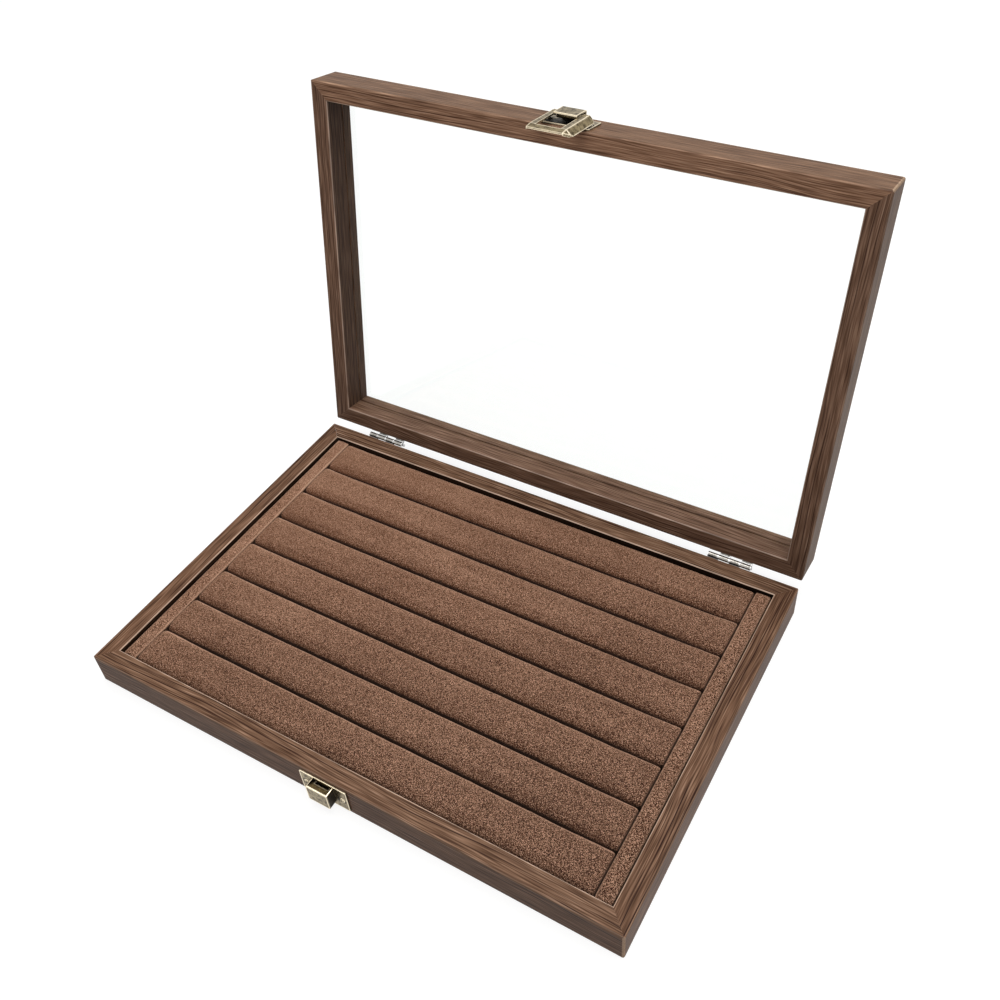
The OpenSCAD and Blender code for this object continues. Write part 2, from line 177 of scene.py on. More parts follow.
# grey-brown walnut: fine fibres, streaks and thin wandering lines; scales are per metre, first along the grain
walnut = {
    "tones": [(0.0, "#35231a"), (0.28, "#58402f"), (0.50, "#705542"), (0.72, "#886b55"), (1.0, "#ad9079")],
    "line": "#27130c",
    # the edge colour: worn wood with a painted highlight
    "edge": "#dcc4ae",
    "sway": (7, 24, 1), "swayWidth": 9 * mm,
    "fibres": (45, 1500, 1), "streaks": (16, 700, 1), "bands": (5, 150, 1),
    "shares": (0.78, 0.12, 0.10),  # of fibres, streaks and bands in the tone
    "lines": [
        {"gap": 3.4 * mm, "width": 0.42 * mm, "wander": (6, 20, 1), "swing": 2.2,
         "breaks": (9, 90, 1), "present": (0.45, 0.53), "dark": 0.95},
        {"gap": 1.6 * mm, "width": 0.30 * mm, "wander": (14, 48, 1), "swing": 2.0,
         "breaks": (22, 260, 1), "present": (0.50, 0.58), "dark": 0.75},
    ],
    "edgeTurn": (0.995, 0.94),  # largest part of the normal where the rub and its painted highlight start, and where they are full
    "edgeRub": (0.35, 0.6, 0.55),
    "lidPivot": (0, 0.1228, 0.0213),
    "roughness": (0.52, 0.42), "specular": 0.08,
    "bump": 0.05 * mm, "bumpStrength": 0.6, "lineDepth": -0.6,
}
# which way a face looks: where its painted shade, light or edge highlight starts to count and where it counts in full
looks = {
    "upright": (0.45, 0.15), "inward": (-0.02, -0.07), "outward": (0.02, 0.07),
    "front": (-0.5, -0.9), "side": (0.5, 0.9), "rim": (-0.5, -0.9),
    "forward": (0.11, 0.0),  # metres from the middle, over which the lid's rim takes its painted light
    "corner": (0.05, 0.3), "outerEdge": (-0.01, 0.01, 1.0, 0.2),
}
# how each rail run is stained and shaded: painted shade and light as shares of the plain tone on the faces that look
# inward, forward, sideways and, on the lid, down; how far the edges are rubbed, with a painted highlight; how calm
# the grain is;
# the change over a metre (darker towards the back and right on the base); and the shift that gives each rail run its
# own grain
baseStainAndShade = {
    "inward": (0.13, 0.13, 0.13), "front": (0.76, 0.68, 0.60), "side": (0.88, 0.80, 0.68), "rim": (1.0, 1.0, 1.0),
    "rubAndHighlight": 0.9, "contrast": 0.24, "lines": 1.0, "slope": (-0.3, -0.3, 0),
}
lidStainAndShade = {
    "tint": (1.0, 1.0, 1.08), "front": (1.05, 1.0, 0.86), "side": (0.70, 0.61, 0.44),
    "rubAndHighlight": 0.5, "contrast": 0.30, "slope": (0, 0, 0),
}
stainsAndShades = {
    ("base", "across"): {**baseStainAndShade, "tint": (1.10, 1.06, 1.07), "shift": (0, 0, 0)},
    ("base", "along"): {**baseStainAndShade, "tint": (0.97, 0.89, 0.87), "shift": (0.31, 0.12, 0.05)},
    ("lid", "across"): {
        **lidStainAndShade, "inward": (1.15, 1.15, 1.15), "rim": (2.15, 2.10, 2.0), "lines": 0.75,
        "shift": (0.77, 0.21, 0.4)},
    ("lid", "along"): {
        **lidStainAndShade, "inward": (0.52, 0.52, 0.52), "rim": (1.45, 1.45, 1.45), "lines": 0.70,
        "shift": (1.13, 0.43, 0.2)},
}


def thinLines(tree, place, across, kind):  # lines a set gap apart that wander, close up and spread
    wander = cloudy(tree, stretched(tree, place, kind["wander"]), detail=1, roughness=0.4)
    turns = calc(tree, "MULTIPLY_ADD", wander, kind["swing"], calc(tree, "MULTIPLY", across, 1 / kind["gap"]))
    off = calc(tree, "ABSOLUTE", calc(tree, "SUBTRACT", calc(tree, "FRACT", turns), 0.5))
    return spread(tree, off, kind["width"] / kind["gap"], 0.4 * kind["width"] / kind["gap"])


def faceShade(tree, coords, onLid, stain):
    turn = Matrix.Rotation(lidTurn if onLid else 0, 3, "X")
    pivot = Vector(walnut["lidPivot"])
    angles = (lidTurn if onLid else 0, 0, 0)
    closed = stretched(tree, coords.outputs["Object"], (1, 1, 1), angles, pivot - turn @ pivot)
    facing = turned(tree, coords.outputs["Normal"], angles)
    out = vectorMath(tree, "DOT_PRODUCT", vectorMath(tree, "MULTIPLY", closed, (1, 1, 0)), facing)
    way = apart(tree, facing)
    upright = spread(tree, calc(tree, "ABSOLUTE", way[2]), *looks["upright"])
    outward = spread(tree, out, *looks["outward"])
    sideways = spread(tree, calc(tree, "ABSOLUTE", way[0]), *looks["side"])
    forward = spread(tree, apart(tree, closed)[1], *looks["forward"])
    # painted shade and light: each way a face looks takes its own share of the plain tone
    faces = {
        "inward": calc(tree, "MULTIPLY", spread(tree, out, *looks["inward"]), upright),
        "front": calc(tree, "MULTIPLY", outward, spread(tree, way[1], *looks["front"])),
        "side": calc(tree, "MULTIPLY", outward, sideways),
        "rim": calc(tree, "MULTIPLY", spread(tree, way[2], *looks["rim"]), forward),
    }
    shade = (1, 1, 1)
    for key, face in faces.items():
        change = [part - 1 for part in stain[key]]
        shade = vectorMath(tree, "MULTIPLY_ADD", face, change, shade)
    slope = vectorMath(tree, "DOT_PRODUCT", closed, stain["slope"])
    # the edge rub and its painted highlight count fully on inner edges and upright corners, a fifth on outer ones
    corner = calc(tree, "ABSOLUTE", calc(tree, "MULTIPLY", way[0], way[1]))
    worn = calc(tree, "MAXIMUM", spread(tree, out, *looks["outerEdge"]), spread(tree, corner, *looks["corner"]))
    return vectorMath(tree, "ADD", slope, shade), worn


def makeWalnut(name, onLid, along, stain):
    material, tree, shader, coords = startMaterial(name)
    turn = (lidTurn if onLid else 0, 0, -quarter if along else 0)
    place = apart(tree, stretched(tree, coords.outputs["Object"], (1, 1, 1), turn, stain["shift"]))
    across = calc(tree, "ADD", place[1], place[2])  # runs over the rail's edges from face to face
    unfolded = addNode(tree, "CombineXYZ", {0: place[0], 1: across}).outputs[0]
    sway = cloudy(tree, stretched(tree, unfolded, walnut["sway"]), detail=2)
    drift = calc(tree, "MULTIPLY_ADD", calc(tree, "SUBTRACT", sway, 0.5), walnut["swayWidth"], across)
    warped = addNode(tree, "CombineXYZ", {0: place[0], 1: drift}).outputs[0]

    fibres = cloudy(tree, stretched(tree, warped, walnut["fibres"]), detail=1)
    streaks = cloudy(tree, stretched(tree, warped, walnut["streaks"]), detail=2, roughness=0.6)
    bands = cloudy(tree, stretched(tree, warped, walnut["bands"]), detail=1)
    tone = 0.0
    for pattern, share in zip((fibres, streaks, bands), walnut["shares"]):
        tone = calc(tree, "MULTIPLY_ADD", pattern, share, tone)
    tone = spread(tree, tone, 0.5 - stain["contrast"], 0.5 + stain["contrast"])
    colour = tones(tree, tone, walnut["tones"])

    marks = 0.0  # thin dark lines, broken up along the rail
    for kind in walnut["lines"]:
        present = spread(tree, cloudy(tree, stretched(tree, warped, kind["breaks"])), *kind["present"])
        drawn = calc(tree, "MULTIPLY", thinLines(tree, warped, drift, kind), present)
        marks = calc(tree, "MAXIMUM", marks, calc(tree, "MULTIPLY", drawn, kind["dark"]))
    colour = blendColours(tree, calc(tree, "MULTIPLY", marks, stain["lines"]), colour, paint(walnut["line"]))

    # rounded edges are rubbed lighter and carry a painted highlight, inner ones more than outer ones
    parts = apart(tree, vectorMath(tree, "ABSOLUTE", turned(tree, coords.outputs["Normal"], turn), (0, 0, 0)))
    flat = calc(tree, "MAXIMUM", calc(tree, "MAXIMUM", parts[0], parts[1]), parts[2])
    low, high, least = walnut["edgeRub"]
    patchy = spread(tree, fibres, low, high, least * stain["rubAndHighlight"], stain["rubAndHighlight"])
    rubbedAndHighlit = calc(tree, "MULTIPLY", spread(tree, flat, *walnut["edgeTurn"]), patchy)
    # painted shade and light by the way each face looks, and the mask of edges that carry the painted highlight
    shade, worn = faceShade(tree, coords, onLid, stain)
    colour = blendColours(tree, calc(tree, "MULTIPLY", rubbedAndHighlit, worn), colour, paint(walnut["edge"]))
    colour = vectorMath(tree, "MULTIPLY", vectorMath(tree, "MULTIPLY", colour, stain["tint"]), shade)

    height = calc(tree, "MULTIPLY_ADD", marks, walnut["lineDepth"], streaks)
    plug(tree, shader.inputs["Base Color"], colour)
    plug(tree, shader.inputs["Roughness"], spread(tree, tone, 0.0, 1.0, *walnut["roughness"]))
    plug(tree, shader.inputs["Normal"], raised(tree, height, walnut["bump"], walnut["bumpStrength"]))
    shader.inputs["Specular IOR Level"].default_value = walnut["specular"]
    return material


# short nap on soft brown suede: it stands up more towards the front and right; painted light on faces that look back,
# painted shade on those that look forward
suede = {
    "tones": [(0.0, "#2b170d"), (0.25, "#54331f"), (0.5, "#724d39"), (0.75, "#916a52"), (1.0, "#c9a086")],
    # painted shade where the pads meet
    "creviceShade": "#1a0d07", "creviceDepth": 0.9,
    "nap": 2300.0, "contrast": 4.1,
    "specks": 1500.0, "speckSize": (0.38, 0.27), "speckDepth": -0.35,
    "standing": (1.22, (2.6, -3.6, 0)),  # in the middle of the tray, and the change over a metre
    # the middle of the tone and its change over a metre: lighter towards the back and the left
    "toneSlope": (0.465, (-0.75, 0.9, 0)),
    "worn": (14, 40, 40), "wornDepth": 0.3,
    # painted light on faces that look back, painted shade on those that look forward; painted highlight along the
    # ridges
    "backFacingLight": 0.20, "rim": 1.0,
    "roughness": (0.95, 0.80), "bump": 0.12 * mm, "bumpStrength": 0.8, "specular": 0.25,
    "sheen": 0.2, "sheenRoughness": 0.45, "sheenTint": "#cfae98",
}


def makeSuede(name):
    material, tree, shader, coords = startMaterial(name)
    place = coords.outputs["Object"]
    nap = cloudy(tree, place, suede["nap"], 2.0, 0.7)
    specks = cloudy(tree, stretched(tree, place, (1, 1, 1), shift=(0.3, 0.1, 0.7)), suede["specks"], 0.0)
    worn = cloudy(tree, stretched(tree, place, suede["worn"]), detail=2)
    standing, toneSlope = [
        calc(tree, "ADD", vectorMath(tree, "DOT_PRODUCT", place, change), middle)
        for middle, change in (suede["standing"], suede["toneSlope"])]
    # painted light on faces that look back, painted shade on those that look forward
    facingBack = apart(tree, coords.outputs["Normal"])[1]
    grain = calc(tree, "MULTIPLY", calc(tree, "SUBTRACT", nap, 0.5), suede["contrast"])
    grain = calc(tree, "MULTIPLY_ADD", spread(tree, specks, *suede["speckSize"]), suede["speckDepth"], grain)
    tone = calc(tree, "MULTIPLY_ADD", grain, standing, toneSlope)
    tone = calc(tree, "MULTIPLY_ADD", calc(tree, "SUBTRACT", worn, 0.5), suede["wornDepth"], tone)
    tone = calc(tree, "MULTIPLY_ADD", facingBack, suede["backFacingLight"], tone)
    # painted highlight along the ridges
    tone = calc(tree, "MULTIPLY_ADD", stored(tree, "rim"), suede["rim"], tone, clamp=True)
    # painted shade where the pads meet
    creviceShade = spread(tree, stored(tree, "creviceShade"), 0.0, 1.0, 0.0, suede["creviceDepth"])
    colour = blendColours(tree, creviceShade, tones(tree, tone, suede["tones"]), paint(suede["creviceShade"]))
    plug(tree, shader.inputs["Base Color"], colour)
    plug(tree, shader.inputs["Roughness"], spread(tree, nap, 0.3, 0.7, *suede["roughness"]))
    plug(tree, shader.inputs["Normal"], raised(tree, nap, suede["bump"], suede["bumpStrength"]))
    shader.inputs["Specular IOR Level"].default_value = suede["specular"]
    shader.inputs["Sheen Weight"].default_value = suede["sheen"]
    shader.inputs["Sheen Roughness"].default_value = suede["sheenRoughness"]
    shader.inputs["Sheen Tint"].default_value = paint(suede["sheenTint"])
    return material


# metal plate: mottled stains, patina and painted shade that gather in the hollows, and edges that are rubbed bright
# with a painted highlight
brass = {
    "light": "#978765", "dark": "#483c24", "worn": "#fff0d2", "hollow": "#17120d", "soilAndShade": (0.30, 0.66),
    "roughness": (0.44, 0.22), "grain": 420.0, "bump": 0.03 * mm, "stain": (0.41, 0.57), "depth": 0.92,
}
nickel = {
    "light": "#bdbab4", "dark": "#85817b", "worn": "#ffffff", "hollow": "#1d1b19", "soilAndShade": (0.12, 0.50),
    "roughness": (0.28, 0.14), "grain": 300.0, "bump": 0.01 * mm, "stain": (0.34, 0.66), "depth": 0.90,
}
plating = {  # shared by both metals
    "patchShare": 0.65, "speckShare": 0.35, "dirtAndShadeFromStain": -0.9, "dirtAndShadeRoughness": 0.25,
    "bright": (0.3, 0.9, 0.95, 0.1),  # from open to hollow, how much of the rub and its painted highlight is left
    "smooth": (0.35, 0.65), "bumpStrength": 0.7,
}


def makeMetal(name, metal):
    material, tree, shader, coords = startMaterial(name)
    place = coords.outputs["Object"]
    patches = cloudy(tree, place, metal["grain"], 6.0, 0.62)
    specks = cloudy(tree, place, metal["grain"] * 5, 3.0, 0.6)
    stain = calc(tree, "MULTIPLY", patches, plating["patchShare"])
    stain = calc(tree, "MULTIPLY_ADD", specks, plating["speckShare"], stain)
    colour = blendColours(tree, spread(tree, stain, *metal["stain"]), paint(metal["dark"]), paint(metal["light"]))
    # patina and painted shade in the hollows, round the screws and on the faces that look right
    hollow = stored(tree, "hollow")
    dirtAndShade = calc(tree, "MULTIPLY_ADD", calc(tree, "SUBTRACT", stain, 0.5), plating["dirtAndShadeFromStain"], hollow)
    dirtAndShade = spread(tree, dirtAndShade, *metal["soilAndShade"], 0.0, metal["depth"])
    colour = blendColours(tree, dirtAndShade, colour, paint(metal["hollow"]))
    # rubbed edges with a painted highlight, less in the hollows
    rubbedAndHighlit = calc(tree, "MULTIPLY", stored(tree, "rubbedAndHighlit"), spread(tree, hollow, *plating["bright"]))
    colour = blendColours(tree, rubbedAndHighlit, colour, paint(metal["worn"]))
    plain = spread(tree, stain, *plating["smooth"], *metal["roughness"])
    plug(tree, shader.inputs["Base Color"], colour)
    plug(tree, shader.inputs["Roughness"], calc(tree, "MULTIPLY_ADD", dirtAndShade, plating["dirtAndShadeRoughness"], plain))
    plug(tree, shader.inputs["Normal"], raised(tree, stain, metal["bump"], plating["bumpStrength"]))
    shader.inputs["Metallic"].default_value = 1.0
    return material


# thin boards: pressed fibres with faint patches
board = {
    "fibres": (160, 420, 420), "patches": 18.0, "patchShare": 0.4, "fibreShare": 0.6,
    "roughness": (0.70, 0.58), "bump": 0.05 * mm, "bumpStrength": 0.5,
}


def makeBoard(name, light, dark):
    material, tree, shader, coords = startMaterial(name)
    place = coords.outputs["Object"]
    fibres = cloudy(tree, stretched(tree, place, board["fibres"]), detail=5, roughness=0.65)
    patches = cloudy(tree, place, board["patches"], 2.0)
    tone = calc(tree, "MULTIPLY", fibres, board["fibreShare"])
    tone = spread(tree, calc(tree, "MULTIPLY_ADD", patches, board["patchShare"], tone), 0.35, 0.65)
    plug(tree, shader.inputs["Base Color"], blendColours(tree, tone, paint(dark), paint(light)))
    plug(tree, shader.inputs["Roughness"], spread(tree, fibres, 0.3, 0.7, *board["roughness"]))
    plug(tree, shader.inputs["Normal"], raised(tree, fibres, board["bump"], board["bumpStrength"]))
    return material


# clear pane with faint smears; it lets the lamps through to the tray
glass = {
    "tint": (0.97, 0.99, 0.985, 1), "shadowTint": (0.95, 0.98, 0.97, 1), "ior": 1.5,
    "smears": 30.0, "smearRoughness": 0.012,
}


def makeGlass(name):
    material, tree, shader, coords = startMaterial(name)
    shader.inputs["Base Color"].default_value = glass["tint"]
    shader.inputs["Transmission Weight"].default_value = 1.0
    shader.inputs["IOR"].default_value = glass["ior"]
    smears = cloudy(tree, coords.outputs["Object"], glass["smears"], 3.0)
    plug(tree, shader.inputs["Roughness"], spread(tree, smears, 0.5, 0.8, 0.0, glass["smearRoughness"]))
    clear = addNode(tree, "BsdfTransparent", {"Color": glass["shadowTint"]})
    light = addNode(tree, "LightPath")
    mix = addNode(tree, "MixShader", {0: light.outputs["Is Shadow Ray"], 1: shader.outputs[0], 2: clear.outputs[0]})
    tree.links.new(mix.outputs[0], tree.nodes["Material Output"].inputs["Surface"])
    return material


walnutMaterials = {
    (part, run): makeWalnut(f"walnut_{part}_{run}", part == "lid", run == "along", stain)
    for (part, run), stain in stainsAndShades.items()}
suedeMaterial = makeSuede("brown_suede")
brassMaterial = makeMetal("antique_brass", brass)
nickelMaterial = makeMetal("bright_nickel", nickel)
boardMaterial = makeBoard("bottom_board", "#6a5243", "#4d3a2f")
trayBoardMaterial = makeBoard("tray_board_paper", "#3a2a22", "#241913")
glassMaterial = makeGlass("clear_glass")
print("materials made")


def dress(name, material):
    mesh = nodes[name].data
    mesh.materials.clear()
    mesh.materials.append(material)


for part in ("base", "lid"):
    for side, run in (("front", "across"), ("back", "across"), ("left", "along"), ("right", "along")):
        dress(part + "_rail_" + side, walnutMaterials[part, run])
dress("bottom_panel", boardMaterial)
dress("tray_board", trayBoardMaterial)
dress("glass_pane", glassMaterial)
print("rails, boards and pane dressed")

# pressed metal with its edges rounded over: node, new name, body, slot, width of the rounding
pressed = [
    ("catch", "catch_pressed", "base", "antique_brass", 0.30 * mm),
    ("catch_screws", "catch_screw_pair", "base", "antique_brass", 0.10 * mm),
    ("hasp", "hasp_pressed", "lid", "antique_brass", 0.30 * mm),
    ("hasp_screws", "hasp_screw_pair", "lid", "antique_brass", 0.10 * mm),
    ("loop", "loop_pressed", "hasp_loop", "antique_brass", 0.30 * mm),
    ("hinge_base_left", "hinge_leaf_base_left", "base", "nickel", 0.16 * mm),
    ("hinge_base_right", "hinge_leaf_base_right", "base", "nickel", 0.16 * mm),
    ("hinge_pin_left", "hinge_wire_left", "base", "nickel", 0.12 * mm),
    ("hinge_pin_right", "hinge_wire_right", "base", "nickel", 0.12 * mm),
    ("hinge_screws_base", "hinge_screw_set_base", "base", "nickel", 0.10 * mm),
    ("hinge_lid_left", "hinge_leaf_lid_left", "lid", "nickel", 0.16 * mm),
    ("hinge_lid_right", "hinge_leaf_lid_right", "lid", "nickel", 0.16 * mm),
    ("hinge_screws_lid", "hinge_screw_set_lid", "lid", "nickel", 0.10 * mm),
]
metals = {"antique_brass": brassMaterial, "nickel": nickelMaterial}
rounding = {
    "weld": 0.002 * mm, "reweld": 0.001 * mm, "cut": 0.0005 * mm, "flatTurn": 0.6, "sharpTurn": 32, "back": 0.9,
    "cell": {"antique_brass": 0.45 * mm, "nickel": 0.8 * mm},
}
# patina and painted shade in hollows found by casting rays; rubbed edges with a painted highlight
patinaAndShade = {
    "reach": 9.0 * mm, "rays": 28, "upward": 1.02, "lift": 0.04 * mm, "rim": 0.25 * mm,
    "ring": 1.0 * mm, "ringDirtAndShade": 1.1,  # a dark ring round the heads of the screws: patina and painted shade
    "dome": 0.5, "unsheltered": 0.35,  # painted highlight: the heads are brighter than their plate where their hollow value is below this
    "wearAndHighlight": (1.0, 2.1),  # in widths of the rounding: where the rub and its painted highlight are full, and where they end
    "rubAndHighlight": {"base": 1.2, "lid": 1.0, "hasp_loop": 0.6},  # against the rounding
    "rightFaceShade": {"base": 0.70, "lid": 0.30, "hasp_loop": 0.12},  # painted shade on the faces that look right
}
screwsOf = {"catch": "catch_screws", "hasp": "hasp_screws"}
around = {  # what shelters the metal of each body, for its patina and painted shade
    "base": ["base_rail_front", "base_rail_back", "catch"],
    "lid": ["lid_rail_front", "lid_rail_back", "hasp", "loop"],
    "hasp_loop": ["hasp"],
}


def addPiece(name, bm, material, body, smoothAngle=35):
    mesh = bpy.data.meshes.new(name)
    bm.to_mesh(mesh)
    bm.free()
    mesh.materials.append(material)
    piece = bpy.data.objects.new(name, mesh)
    scene.collection.objects.link(piece)
    mesh.shade_smooth()
    if smoothAngle:
        mesh.set_sharp_from_angle(angle=math.radians(smoothAngle))
    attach(piece, body)
    return piece


def meshPoints(mesh):
    points = np.empty(len(mesh.vertices) * 3, np.float32)
    mesh.vertices.foreach_get("co", points)
    return points.reshape(-1, 3).astype(float)


def movePoints(mesh, points):
    mesh.vertices.foreach_set("co", points.astype(np.float32).ravel())
    mesh.update()


def treeOf(names):  # one search tree over the meshes of several nodes
    points, faces = [], []
    for name in names:
        start = len(points)
        mesh = nodes[name].data
        points += [v.co.copy() for v in mesh.vertices]
        faces += [[start + i for i in p.vertices] for p in mesh.polygons]
    return BVHTree.FromPolygons(points, faces)


def diced(bm, turn, cell):  # cuts the faces into small ones, so that wear can be stored on them
    for axis in range(3):
        normal = turn.col[axis]
        reach = [v.co.dot(normal) for v in bm.verts]
        low, high = min(reach), max(reach)
        count = int((high - low) / cell)
        for k in range(1, count):
            bmesh.ops.bisect_plane(
                bm, geom=bm.verts[:] + bm.edges[:] + bm.faces[:], dist=rounding["cut"],
                plane_co=normal * (low + (high - low) * k / count), plane_no=normal)


def markWear(mesh, edges, near, search, screws, rightFaceShade, seed):
    points = meshPoints(mesh)
    starts, ends = np.array([e[0] for e in edges]), np.array([e[1] for e in edges])
    runs = ends - starts
    along = np.einsum("pek,ek->pe", points[:, None] - starts[None], runs) / (runs ** 2).sum(1)
    nearest = starts[None] + np.clip(along, 0, 1)[..., None] * runs[None]
    away = np.sqrt(((points[:, None] - nearest) ** 2).sum(2)).min(1)
    full, gone = patinaAndShade["wearAndHighlight"]
    rubbedAndHighlit = np.clip((gone * near - away) / ((gone - full) * near), 0, 1)
    dice = np.random.default_rng(seed)
    ways = dice.normal(size=(patinaAndShade["rays"], 3))
    ways /= np.linalg.norm(ways, axis=1)[:, None]
    # patina and painted shade: the share of rays that meet a part close by
    hollow = np.zeros(len(points))
    for i, v in enumerate(mesh.vertices):
        start = v.co + v.normal * patinaAndShade["lift"]
        aims = [(Vector(w) + v.normal * patinaAndShade["upward"]).normalized() for w in ways]
        closed = sum(search.ray_cast(start, aim, patinaAndShade["reach"])[0] is not None for aim in aims)
        # painted shade on the faces that look right
        hollow[i] = closed / len(ways) + rightFaceShade * max(0, v.normal.x) ** 2
        # patina and painted shade in a ring round the screw heads
        if screws:
            hollow[i] += patinaAndShade["ringDirtAndShade"] * max(0, 1 - screws.find_nearest(v.co)[3] / patinaAndShade["ring"])
    # painted highlight on the screw heads where they are not in a hollow
    if near == patinaAndShade["rim"]:
        rubbedAndHighlit = np.maximum(rubbedAndHighlit, patinaAndShade["dome"] * (hollow < patinaAndShade["unsheltered"]))
    keep(mesh.attributes, {"rubbedAndHighlit": rubbedAndHighlit, "hollow": hollow})


def roundedCopy(node, name, body, slot, width):
    bm = bmesh.new()
    bm.from_mesh(nodes[node].data)
    bmesh.ops.remove_doubles(bm, verts=bm.verts, dist=rounding["weld"])
    flatTurn, sharpTurn = math.radians(rounding["flatTurn"]), math.radians(rounding["sharpTurn"])
    bmesh.ops.dissolve_limit(bm, angle_limit=flatTurn, verts=bm.verts, edges=bm.edges)
    sharp = [e for e in bm.edges if len(e.link_faces) == 2 and e.calc_face_angle(0) > sharpTurn]
    turn = Matrix.Rotation(0 if body == "base" else -lidTurn, 3, "X")
    outer = [e for e in sharp if e.is_convex]
    if "screw" in node:  # only the rims of the heads are rubbed and highlit, not their recesses
        back = turn @ Vector((0, 1 if "hinge" not in node else -1, 0))
        outer = [e for e in outer if max(f.normal.dot(back) for f in e.link_faces) > rounding["back"]]
    outer = [[v.co.copy() for v in e.verts] for e in outer]
    bmesh.ops.bevel(
        bm, geom=sharp, offset=width, offset_type="OFFSET", affect="EDGES", segments=2,
        profile=0.5, material=-1, clamp_overlap=True, loop_slide=True)
    bmesh.ops.remove_doubles(bm, verts=bm.verts, dist=rounding["reweld"])
    if "pin" not in node:
        diced(bm, turn, rounding["cell"][slot])
    bm.normal_update()
    piece = addPiece(name, bm, metals[slot], body)
    near = patinaAndShade["rim"] if "screw" in node else width * patinaAndShade["rubAndHighlight"][body]
    screws = treeOf([screwsOf[node]]) if node in screwsOf else None
    markWear(piece.data, outer, near, treeOf([node] + around[body]), screws, patinaAndShade["rightFaceShade"][body], len(name))
    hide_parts(node)


for row in pressed:
    roundedCopy(*row)
print("metal pieces rounded")

# suede rolls and side bars: sizes of the padding, how it swells, where shade and highlight are painted, how pale the
# bars are
rollSizes = {
    "along": 0, "inset": 0.20 * mm, "shoulder": 2.8 * mm, "endRound": 0.5 * mm, "arch": 1.0 * mm, "voxel": 1.3 * mm,
    "pressure": 4.0, "swell": 0.5 * mm, "pucker": 0.16 * mm, "fill": 0.8,
    "crease": (2.1 * mm, 2.9 * mm), "gaps": (0.95 * mm, 0.1 * mm), "ridgeHighlight": (0.4 * mm, 2.2 * mm), "paler": 0,
}
barSizes = {
    "along": 1, "inset": 0.10 * mm, "shoulder": 1.0 * mm, "endRound": 0.6 * mm, "arch": 0.2 * mm, "voxel": 1.2 * mm,
    "pressure": 2.0, "swell": 0.25 * mm, "pucker": 0.07 * mm, "fill": 0.9,
    "crease": (0.9 * mm, 1.6 * mm), "gaps": (0.5 * mm, 0.5 * mm), "ridgeHighlight": (0.2 * mm, 1.5 * mm), "paler": 0.08,
}
padding = {  # the same for both kinds
    "shortEdge": 1.1 * mm, "endTurn": 0.99, "endFoot": 1.5 * mm, "foot": 1.2 * mm, "gapFade": 0.35 * mm,
    "waves": 7, "slowWave": 180, "waveStep": 60, "waveStart": 6.3, "clear": 0.02 * mm, "steps": 20,
}
clothSettings = {
    "quality": 5, "mass": 0.2, "tension_stiffness": 12, "compression_stiffness": 12, "shear_stiffness": 8,
    "bending_stiffness": 0.8, "use_pressure": True, "vertex_group_mass": "foot",
}


def padBlock(name, node, sizes):
    along = sizes["along"]
    low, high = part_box(node)
    size = high - low - Vector((2, 2, 2)) * sizes["inset"]
    middle = (low + high) / 2
    size.z -= sizes["arch"] - sizes["inset"]
    middle.z -= sizes["arch"] / 2
    bm = bmesh.new()
    bmesh.ops.create_cube(bm, size=1)
    bmesh.ops.scale(bm, vec=size, verts=bm.verts)
    bmesh.ops.translate(bm, vec=middle, verts=bm.verts)
    shoulders = [e for e in bm.edges
                 if abs((e.verts[0].co - e.verts[1].co)[along]) > padding["shortEdge"]
                 and min(v.co.z for v in e.verts) > middle.z]
    bmesh.ops.bevel(
        bm, geom=shoulders, offset=sizes["shoulder"], offset_type="OFFSET", affect="EDGES",
        segments=8, profile=0.5, material=-1)
    ends = [e for e in bm.edges if len(e.link_faces) == 2
            and max(abs(f.normal[along]) for f in e.link_faces) > padding["endTurn"]
            and min(v.co.z for v in e.verts) > low.z + padding["endFoot"]]
    bmesh.ops.bevel(
        bm, geom=ends, offset=sizes["endRound"], offset_type="OFFSET", affect="EDGES",
        segments=3, profile=0.5, material=-1)
    piece = addPiece(name, bm, suedeMaterial, "base", 0)
    remesh = piece.modifiers.new("even", "REMESH")
    remesh.mode = "VOXEL"
    remesh.voxel_size = sizes["voxel"]
    remesh.use_smooth_shade = True
    applyModifiers(piece)
    across = 1 - along
    points = meshPoints(piece.data)
    off = np.abs(points[:, across] - middle[across]) / ((high - low)[across] / 2)
    share = np.clip((points[:, 2] - low.z) / (high.z - low.z), 0, 1)
    points[:, 2] += sizes["arch"] * np.clip(1 - off * off, 0, 1) * share
    movePoints(piece.data, points)
    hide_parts(node)
    return piece, node, sizes


def applyModifiers(piece):
    graph = bpy.context.evaluated_depsgraph_get()
    old = piece.data
    piece.data = bpy.data.meshes.new_from_object(piece.evaluated_get(graph), depsgraph=graph)
    piece.data.name = old.name
    piece.modifiers.clear()
    bpy.data.meshes.remove(old)


